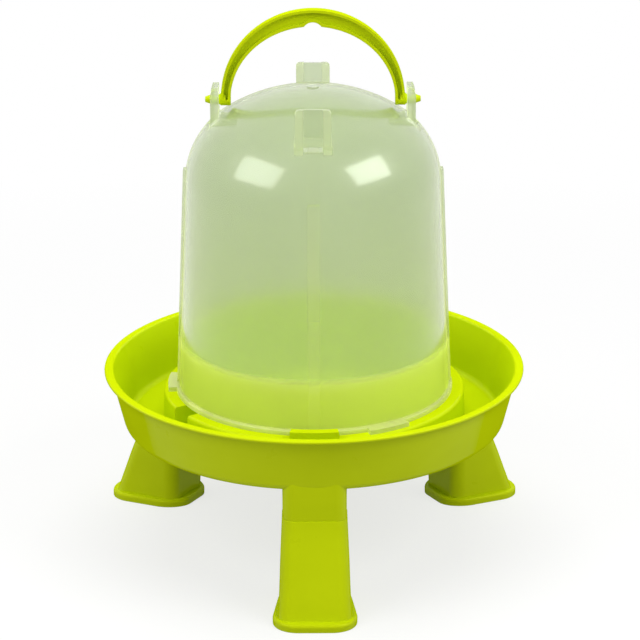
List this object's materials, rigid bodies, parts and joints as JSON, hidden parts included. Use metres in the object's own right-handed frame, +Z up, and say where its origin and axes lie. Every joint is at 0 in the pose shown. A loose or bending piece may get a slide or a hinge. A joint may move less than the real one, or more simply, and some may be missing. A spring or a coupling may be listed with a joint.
{
  "type": "poultry drinker",
  "caption": "Vacuum poultry drinker: translucent ribbed tank dome locked by a bayonet into a round green tray on push-in legs, with a swinging bail handle.",
  "frame": {"origin": "where the drinker's axis meets the floor that the three soles stand on", "axes": "+Z up along the axis of dome and tray, -Y towards the front leg, +X towards the right ear of the handle"},
  "size_m": [0.3062, 0.3174, 0.3878],
  "materials": {
    "green_plastic": "satin moulded polypropylene, yellow-green",
    "translucent_plastic": "smooth moulded polypropylene, milky and translucent"
  },
  "bodies": {
    "base": {"tray": "green_plastic", "leg_front": "green_plastic", "leg_back_right": "green_plastic", "leg_back_left": "green_plastic"},
    "tank": {"dome": "translucent_plastic"},
    "bail": {"handle": "green_plastic"}
  },
  "joints": [
    {"name": "dome_twist", "type": "hinge", "parent": "base", "child": "tank", "pos_m": [0, 0, 0.1143], "axis": [0, 0, 1], "range_deg": [-28.3, 72.3]},
    {"name": "bail_swing", "type": "hinge", "parent": "tank", "child": "bail", "pos_m": [0, 0, 0.325], "axis": [1, 0, 0], "range_deg": [-88, 88]}
  ]
}
